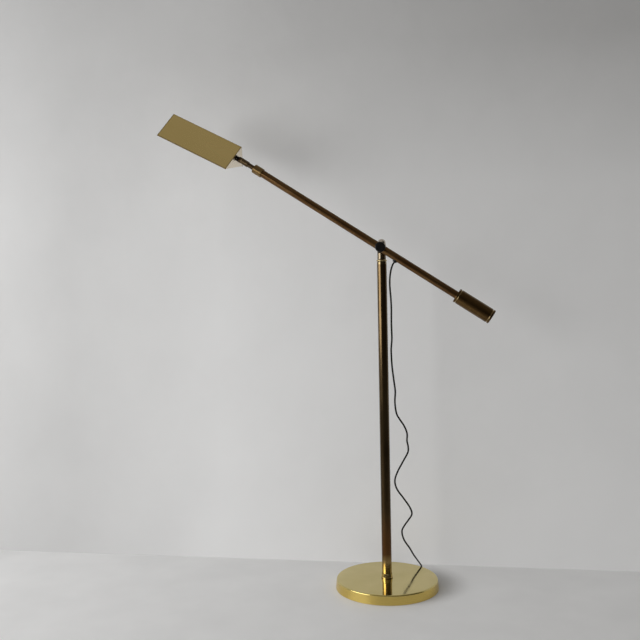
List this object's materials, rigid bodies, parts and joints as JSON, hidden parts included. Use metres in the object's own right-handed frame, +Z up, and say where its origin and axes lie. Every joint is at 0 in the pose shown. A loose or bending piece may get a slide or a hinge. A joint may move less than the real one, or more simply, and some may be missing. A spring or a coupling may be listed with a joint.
{
  "type": "counterbalance reading lamp",
  "caption": "Brass floor reading lamp with a weighted round base, a counterbalanced swing arm on a clamp knob and a tent-shaped shade on a turning knuckle.",
  "frame": {"origin": "centre of the base's underside, on the floor", "axes": "+Z up along the pole, -X towards the shade at the pictured pose, -Y towards the clamp knob"},
  "size_m": [0.8416, 0.3046, 1.2221],
  "materials": {
    "polished_brass": "polished, lightly tarnished",
    "aged_brass": "darkened, rubbed smooth",
    "cast_iron": "as cast",
    "felt": "matt",
    "black_plastic": "satin",
    "fibre": "matt",
    "nylon": "matt",
    "steel": "plated",
    "aluminium": "bright",
    "lead_skin": "dull",
    "bulb_glass": "frosted"
  },
  "bodies": {
    "base": {"base_cover": "polished_brass", "base_weight": "cast_iron", "base_felt": "felt", "base_washer": "steel", "base_nut": "steel", "tie_rod": "steel", "foot_ring": "polished_brass", "pole_tube": "aged_brass", "pole_plug": "steel", "pole_bush": "polished_brass", "thrust_washer": "nylon", "cord_drop": "lead_skin", "cord_hank": "lead_skin", "cord_tail": "lead_skin", "hank_tie": "black_plastic", "plug_body": "black_plastic", "plug_blades": "polished_brass"},
    "post": {"swivel_post": "polished_brass", "post_washer": "steel", "post_nut": "steel", "pivot_stud": "steel", "friction_washer": "fibre", "knob_washer": "steel"},
    "knob": {"clamp_knob": "black_plastic", "knob_insert": "polished_brass"},
    "arm": {"arm_tube": "aged_brass", "rear_saddle": "black_plastic", "front_saddle": "aged_brass", "cord_gland": "black_plastic", "gland_screw": "polished_brass", "inner_lead": "lead_skin", "counterweight": "aged_brass", "weight_screw": "steel", "arm_collar": "polished_brass", "cord_top": "lead_skin"},
    "stem": {"head_stem": "aged_brass", "stem_washer": "steel", "knuckle_body": "aged_brass", "knuckle_screw": "steel", "knuckle_nut": "steel"},
    "head": {"knuckle_tongue": "aged_brass", "cap_grommet": "black_plastic", "neck_nut": "polished_brass", "shade_shell": "polished_brass", "shade_cap_near": "polished_brass", "shade_cap_far": "polished_brass", "holder_cap": "polished_brass", "holder_shell": "polished_brass", "holder_liner": "fibre", "holder_core": "black_plastic", "screw_shell": "aluminium", "centre_contact": "polished_brass", "bulb_cap": "aluminium", "bulb_glass": "bulb_glass"},
    "key": {"switch_key": "black_plastic"}
  },
  "joints": [
    {"name": "arm_swing", "type": "hinge", "parent": "base", "child": "post", "pos_m": [0, 0, 0.83], "axis": [0, 0, 1], "range_deg": [-170, 170], "deforming": ["cord_drop", "cord_top"]},
    {"name": "arm_tilt", "type": "hinge", "parent": "post", "child": "arm", "pos_m": [-0.00338, -0.02133, 0.8563], "axis": [0.1564, 0.9877, 0], "range_deg": [-65, 27], "deforming": ["cord_top"]},
    {"name": "knob_turn", "type": "hinge", "parent": "post", "child": "knob", "pos_m": [-0.00338, -0.02133, 0.8563], "axis": [-0.1564, -0.9877, 0], "range_deg": [0, 360]},
    {"name": "head_spin", "type": "hinge", "parent": "arm", "child": "stem", "pos_m": [-0.32093, 0.02896, 1.06991], "axis": [-0.8227, 0.1303, 0.5534], "range_deg": [-90, 90]},
    {"name": "head_nod", "type": "hinge", "parent": "stem", "child": "head", "pos_m": [-0.3526, 0.03398, 1.09122], "axis": [0.3119, 0.9173, 0.2477], "range_deg": [-54, 66]},
    {"name": "key_turn", "type": "hinge", "parent": "head", "child": "key", "pos_m": [-0.38327, 0.03991, 1.10786], "axis": [-0.3898, 0.3613, -0.8471], "continuous": true}
  ]
}
